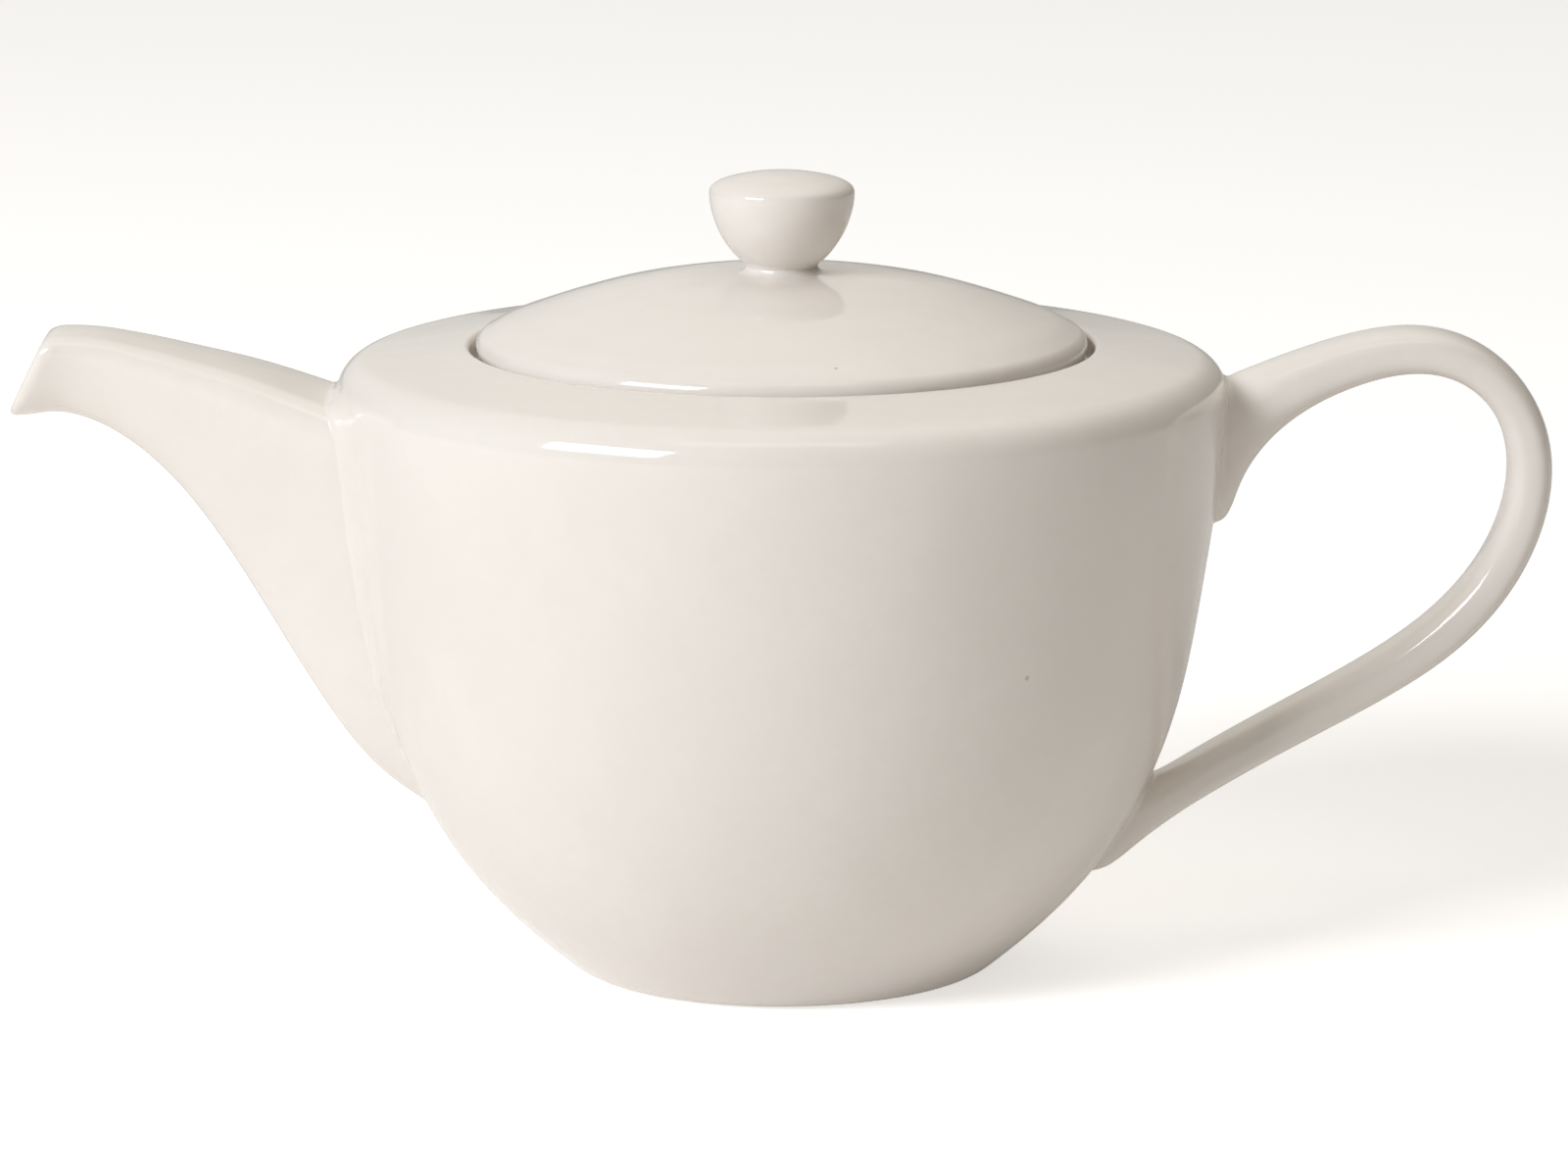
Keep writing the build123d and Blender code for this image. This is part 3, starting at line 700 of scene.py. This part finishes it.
def make_lid():
    lid = make_piece("lid", lathe(lid_profile()[::-1], 288), "loose_lid")
    # The vent stands square to the dome, on its +y side
    (near_r, near_z), (far_r, far_z) = LID_DOME[1:3]
    slope = math.atan2(near_z - far_z, far_r - near_r)
    vent_z = float(np.interp(VENT_Y, *zip(*LID_DOME)))
    cut(lid, spool((0, VENT_Y, vent_z), (0, math.sin(slope), math.cos(slope)),
                   top=-0.02, bottom=-LID_SKIN - 0.02, radius=VENT_R, rounding=VENT_ROUND_R))
    return lid


def make_knob():
    profile = chain(
        joint_face(),
        curve([(WAIST_R, WAIST_Z)] + KNOB_BOWL + [KNOB_WIDEST], 0.3, (0, 1), (0, 1)),
        curve([KNOB_WIDEST] + KNOB_CAP, 0.3, (0, 1), (-1, 0)))
    return make_piece("lid_knob", lathe(profile, 192), "loose_lid")


# ---------------------------------------------------------------- glaze
class Shader:
    """Adds nodes to an emptied shader tree and wires them."""

    def __init__(self, owner):
        owner.use_nodes = True
        self.tree = owner.node_tree
        self.tree.nodes.clear()

    def add(self, kind, inputs=None, **settings):
        node = self.tree.nodes.new(kind)
        for key, value in settings.items():
            setattr(node, key, value)
        for key, value in (inputs or {}).items():
            if isinstance(value, bpy.types.NodeSocket):
                self.tree.links.new(value, node.inputs[key])
            else:
                node.inputs[key].default_value = value
        return node

    def math(self, op, a, b=0.0, c=0.0):
        return self.add("ShaderNodeMath", {0: a, 1: b, 2: c}, operation=op).outputs[0]

    def vector(self, op, inputs, output="Vector"):
        return self.add("ShaderNodeVectorMath", inputs, operation=op).outputs[output]

    def ramp(self, value, low, high, start=0.0, end=1.0):
        """Smooth step of value from start at low to end at high."""
        inputs = {"Value": value, "From Min": low, "From Max": high, "To Min": start, "To Max": end}
        return self.add("ShaderNodeMapRange", inputs,
                        interpolation_type="SMOOTHSTEP").outputs["Result"]

    def mix(self, factor, a, b):
        inputs = {"Factor": factor, 6: a, 7: b}     # 6 and 7 are the colour sockets A and B
        return self.add("ShaderNodeMix", inputs, data_type="RGBA").outputs[2]

    def noise(self, vector, scale, detail=2.0, rough=0.5, warp=0.0):
        inputs = {"Vector": vector, "Scale": scale, "Detail": detail, "Roughness": rough,
                  "Distortion": warp}
        return self.add("ShaderNodeTexNoise", inputs).outputs["Fac"]


def rgb(r, g, b):
    return (r, g, b, 1.0)


# Moves the glaze pattern on the lid and knob, in metres
LID_SHIFT = (0.12, -0.35, 0.17)
# Single specks: centre in mm, radius in mm, strength
BODY_SPECKS = [((42.17, -62.21, 65.24), 0.62, 0.42)]
LID_SPECKS = [((9.33, -49.66, 117.07), 0.45, 0.5), ((-10.1, -5.35, 126.0), 0.3, 0.35),
              ((-14.2, -11.5, 125.55), 0.28, 0.3)]


def glaze_specks(sh, here, place, specks):
    """Mask of small iron specks, in about one in five cells of a 26 mm lattice, and single ones."""
    cells = sh.add("ShaderNodeTexVoronoi", {"Vector": place, "Scale": 38.0, "Randomness": 1.0})
    pick = sh.add("ShaderNodeSeparateColor", {"Color": cells.outputs["Color"]})
    # Size as a share of a cell: 0.005 to 0.013
    size = sh.math("MULTIPLY_ADD", pick.outputs["Green"], 0.008, 0.005)
    near = sh.math("SUBTRACT", 1.0, sh.math("DIVIDE", cells.outputs["Distance"], size))
    chosen = sh.math("GREATER_THAN", pick.outputs["Red"], 0.8)
    mask = sh.math("MULTIPLY", sh.ramp(near, low=0.0, high=0.7, end=0.55), chosen)
    for centre, radius, strength in specks:
        gap = sh.vector("DISTANCE", {0: here, 1: tuple(c * MM for c in centre)}, "Value")
        one = sh.ramp(gap, low=radius * MM, high=radius * 0.00035, end=strength)
        mask = sh.math("MAXIMUM", mask, one)
    return mask


def bare_ring(sh, here, place):
    """Mask of the unglazed standing ring: near z = 0, at radii of about 31 to 39 mm."""
    x, y, z = sh.add("ShaderNodeSeparateXYZ", {"Vector": here}).outputs
    radius = sh.math("SQRT", sh.math("ADD", sh.math("MULTIPLY", x, x), sh.math("MULTIPLY", y, y)))
    # The glaze line wanders by half a millimetre
    edge = sh.math("MULTIPLY_ADD", sh.noise(place, scale=160.0), 0.0005, 0.00005)
    low = sh.ramp(sh.math("SUBTRACT", z, edge), low=0.00012, high=-0.00002)
    band = sh.math("MULTIPLY", sh.ramp(radius, low=0.0308, high=0.0314),
                   sh.ramp(radius, low=0.0392, high=0.0385))
    return sh.math("MULTIPLY", low, band)


def porcelain(name, shift=(0.0, 0.0, 0.0), specks=(), foot=False):
    """Ivory glaze with uneven tone, gloss and level; foot adds the bare matt standing ring."""
    mat = bpy.data.materials.new(name)
    sh = Shader(mat)
    here = sh.add("ShaderNodeTexCoord").outputs["Object"]
    place = sh.add("ShaderNodeMapping", {"Vector": here, "Location": shift}).outputs["Vector"]

    # Colour: clouds about 5 cm wide, mottling of a few millimetres, specks
    clouds = sh.noise(place, scale=19.0, detail=3.0, rough=0.55, warp=0.4)
    colour = sh.mix(sh.ramp(clouds, low=0.34, high=0.66),
                    rgb(0.868, 0.822, 0.778), rgb(0.892, 0.850, 0.806))
    mottle = sh.ramp(sh.noise(place, scale=260.0, rough=0.6), low=0.35, high=0.7, end=0.35)
    colour = sh.mix(mottle, colour, rgb(0.858, 0.814, 0.766))
    colour = sh.mix(glaze_specks(sh, here, place, specks), colour, rgb(0.30, 0.235, 0.175))

    # Roughness: broad differences in how the glaze has flowed, and a faint fine grain
    flow = sh.noise(place, scale=33.0, detail=4.0, rough=0.6, warp=0.3)
    gloss = sh.ramp(flow, low=0.3, high=0.7, start=0.050, end=0.085)
    gloss = sh.math("ADD", gloss,
                    sh.ramp(sh.noise(place, scale=900.0), low=0.4, high=0.8, end=0.02))

    # Level: slow waves, and the orange-peel skin of the glaze at 0.012 of their height
    waves = sh.noise(place, scale=42.0, rough=0.45)
    height = sh.math("MULTIPLY_ADD", sh.noise(place, scale=420.0), 0.012, waves)
    bump = sh.add("ShaderNodeBump", {"Height": height, "Strength": 1.0, "Distance": 0.00022})
    if foot:
        bare = bare_ring(sh, here, place)
        grain = sh.noise(place, scale=1500.0, detail=3.0, rough=0.65)
        clay = sh.mix(grain, rgb(0.70, 0.645, 0.565), rgb(0.80, 0.755, 0.68))
        colour = sh.mix(bare, colour, clay)
        bare_roughness = 0.72
        gloss = sh.math("MAXIMUM", gloss, sh.math("MULTIPLY", bare, bare_roughness))
    surface = sh.add("ShaderNodeBsdfPrincipled", {
        "Base Color": colour, "Roughness": gloss, "IOR": 1.5, "Normal": bump.outputs["Normal"]})
    sh.add("ShaderNodeOutputMaterial", {"Surface": surface.outputs["BSDF"]})
    return mat


# ---------------------------------------------------------------- studio
# Soft light from all round: direction and colour of broad pools of light
POOLS = [
    ((0.356, 0.104, 0.929), (0.760, 0.721, 0.659)),
    ((0.408, 0.465, 0.786), (0.616, 0.592, 0.550)),
    ((-0.095, 0.481, 0.871), (0.393, 0.379, 0.345)),
    ((-0.060, 0.961, 0.271), (0.374, 0.366, 0.345)),
    ((-0.273, 0.957, -0.100), (0.319, 0.323, 0.317)),
    ((0.118, 0.757, 0.643), (0.266, 0.247, 0.214)),
    ((0.061, -0.157, 0.986), (0.202, 0.160, 0.101)),
    ((0.438, -0.899, 0.014), (0.184, 0.131, 0.076)),
    ((-0.111, -0.981, 0.157), (0.167, 0.172, 0.157)),
    ((-0.347, 0.794, 0.500), (0.159, 0.150, 0.133)),
    ((-0.583, 0.802, 0.129), (0.066, 0.067, 0.062)),
    ((-0.850, -0.286, 0.443), (0.000, 0.007, 0.057)),
    ((-0.600, -0.742, 0.300), (0.000, 0.040, 0.080)),
    ((-0.976, 0.025, 0.214), (0.000, 0.000, 0.035)),
    ((-0.446, -0.892, -0.071), (0.000, 0.031, 0.046)),
    ((-0.855, -0.514, 0.071), (0.000, 0.036, 0.083)),
]
POOL_TIGHTNESS = 9.0                # higher values make narrower pools
SOFTBOX_DISTANCE = 1.6
SOFTBOX_AIM = Vector((0, 0, 0.085))
FLOOR_HALF, FLOOR_CELLS, FLOOR_TOP = 7.0, 12, -0.0002
FLOOR_LIFT = 0.46                   # what the camera sees on top of the light on the floor
CAMERA_AIM = Vector((0.00039, 0, 0.0684))
CAMERA_DISTANCE, CAMERA_TILT = 1.25, math.radians(11.5)


def make_world():
    """The pools of light, with plain white where the camera sees the world itself."""
    world = bpy.data.worlds.new("studio")
    scene.world = world
    sh = Shader(world)
    toward = sh.add("ShaderNodeTexCoord").outputs["Generated"]
    light = None
    for axis, colour in POOLS:
        dot = sh.vector("DOT_PRODUCT", {0: toward, 1: axis}, "Value")
        fall = sh.math("EXPONENT", sh.math("MULTIPLY_ADD", dot, POOL_TIGHTNESS, -POOL_TIGHTNESS))
        pool = sh.vector("SCALE", {0: colour, 3: fall})
        light = pool if light is None else sh.vector("ADD", {0: light, 1: pool})
    seen = sh.add("ShaderNodeLightPath").outputs["Is Camera Ray"]
    shown = sh.mix(seen, light, rgb(1.0, 1.0, 1.0))
    back = sh.add("ShaderNodeBackground", {"Color": shown, "Strength": 1.0})
    sh.add("ShaderNodeOutputWorld", {"Surface": back.outputs["Background"]})


def softbox(name, azimuth, elevation, width, height, radiance, colour):
    """A rectangular light that faces the middle of the pot. Azimuth 0 is towards the camera,
    positive to the right; angles are in degrees."""
    a, e = math.radians(azimuth), math.radians(elevation)
    away = Vector((math.sin(a) * math.cos(e), -math.cos(a) * math.cos(e), math.sin(e)))
    lamp = bpy.data.lights.new(name, "AREA")
    lamp.shape, lamp.size, lamp.size_y = "RECTANGLE", width, height
    lamp.energy = radiance * math.pi * width * height
    lamp.color = colour
    ob = new_object(name, lamp)
    ob.location = SOFTBOX_AIM + away * SOFTBOX_DISTANCE
    ob.rotation_mode = "QUATERNION"
    ob.rotation_quaternion = away.to_track_quat("Z", "Y")


def floor_paper():
    mat = bpy.data.materials.new("floor_paper")
    sh = Shader(mat)
    spot = sh.add("ShaderNodeTexCoord").outputs["Object"]
    tint = sh.mix(sh.noise(spot, scale=3.0), rgb(0.86, 0.85, 0.84), rgb(0.88, 0.87, 0.86))
    matt = sh.add("ShaderNodeBsdfDiffuse", {"Color": tint, "Roughness": 0.6})
    # Painted light: a warm glowing patch of strength 0.25 on the floor under the pot's -x side, no
    # lamp, that lights the pot's lower wall from below and shows as a brighter pool on the floor; -44
    # sets how fast it fades
    gap = sh.vector("DISTANCE", {0: spot, 1: (-0.09, -0.02, 0.0)}, "Value")
    fade = sh.math("EXPONENT", sh.math("MULTIPLY", sh.math("MULTIPLY", gap, gap), -44.0))
    painted_floor_glow = sh.add("ShaderNodeEmission", {"Color": rgb(1.0, 0.96, 0.91),
                                         "Strength": sh.math("MULTIPLY", fade, 0.25)})
    glow = sh.add("ShaderNodeEmission", {"Color": rgb(1.0, 1.0, 1.0), "Strength": FLOOR_LIFT})
    seen = sh.add("ShaderNodeLightPath").outputs["Is Camera Ray"]
    lifted = sh.add("ShaderNodeMixShader", {0: seen, 2: glow.outputs["Emission"]})
    # the diffuse floor plus its painted glowing patch
    lit = sh.add("ShaderNodeAddShader", {0: matt.outputs["BSDF"], 1: painted_floor_glow.outputs["Emission"]})
    total = sh.add("ShaderNodeAddShader", {0: lit.outputs["Shader"], 1: lifted.outputs["Shader"]})
    sh.add("ShaderNodeOutputMaterial", {"Surface": total.outputs["Shader"]})
    return mat


def make_floor():
    """A pale floor that runs out of sight behind the pot."""
    places = [-FLOOR_HALF + 2 * FLOOR_HALF * i / FLOOR_CELLS for i in range(FLOOR_CELLS + 1)]
    row = FLOOR_CELLS + 1
    corners = [j * row + i for j in range(FLOOR_CELLS) for i in range(FLOOR_CELLS)]
    mesh = bpy.data.meshes.new("floor")
    mesh.from_pydata([(x, y, FLOOR_TOP) for y in places for x in places], [],
                     [(c, c + 1, c + row + 1, c + row) for c in corners])
    floor = new_object("floor", mesh)
    mesh.materials.append(floor_paper())


def make_camera():
    camera = new_object("camera", bpy.data.cameras.new("camera"))
    camera.data.sensor_width = 36.0
    camera.data.lens = 158.90625
    camera.data.clip_start, camera.data.clip_end = 0.05, 50.0
    away = Vector((0, -math.cos(CAMERA_TILT), math.sin(CAMERA_TILT)))
    camera.location = CAMERA_AIM + away * CAMERA_DISTANCE
    camera.rotation_euler = (math.radians(90) - CAMERA_TILT, 0, 0)
    scene.camera = camera


# ---------------------------------------------------------------- build
pieces = [make_vessel(), make_spout(), make_handle(), make_lid(), make_knob()]
glazes = [porcelain("body_glaze", specks=BODY_SPECKS, foot=True),
          porcelain("spout_glaze"),
          porcelain("handle_glaze"),
          porcelain("lid_glaze", LID_SHIFT, LID_SPECKS),
          porcelain("knob_glaze", LID_SHIFT)]
for piece, glaze in zip(pieces, glazes):
    piece.data.materials.clear()
    piece.data.materials.append(glaze)

make_world()
# The key light is left of the camera and the strongest in the scene
softbox("key_softbox", azimuth=-47.5, elevation=28.5, width=0.83, height=0.55,
        radiance=12.5, colour=(1.0, 0.998, 0.996))
softbox("top_softbox", azimuth=0.0, elevation=69.0, width=1.10, height=0.45,
        radiance=1.25, colour=(1.0, 0.985, 0.96))
make_floor()
make_camera()
scene.view_settings.view_transform = "Standard"
scene.view_settings.look = "None"

bpy.context.view_layer.update()
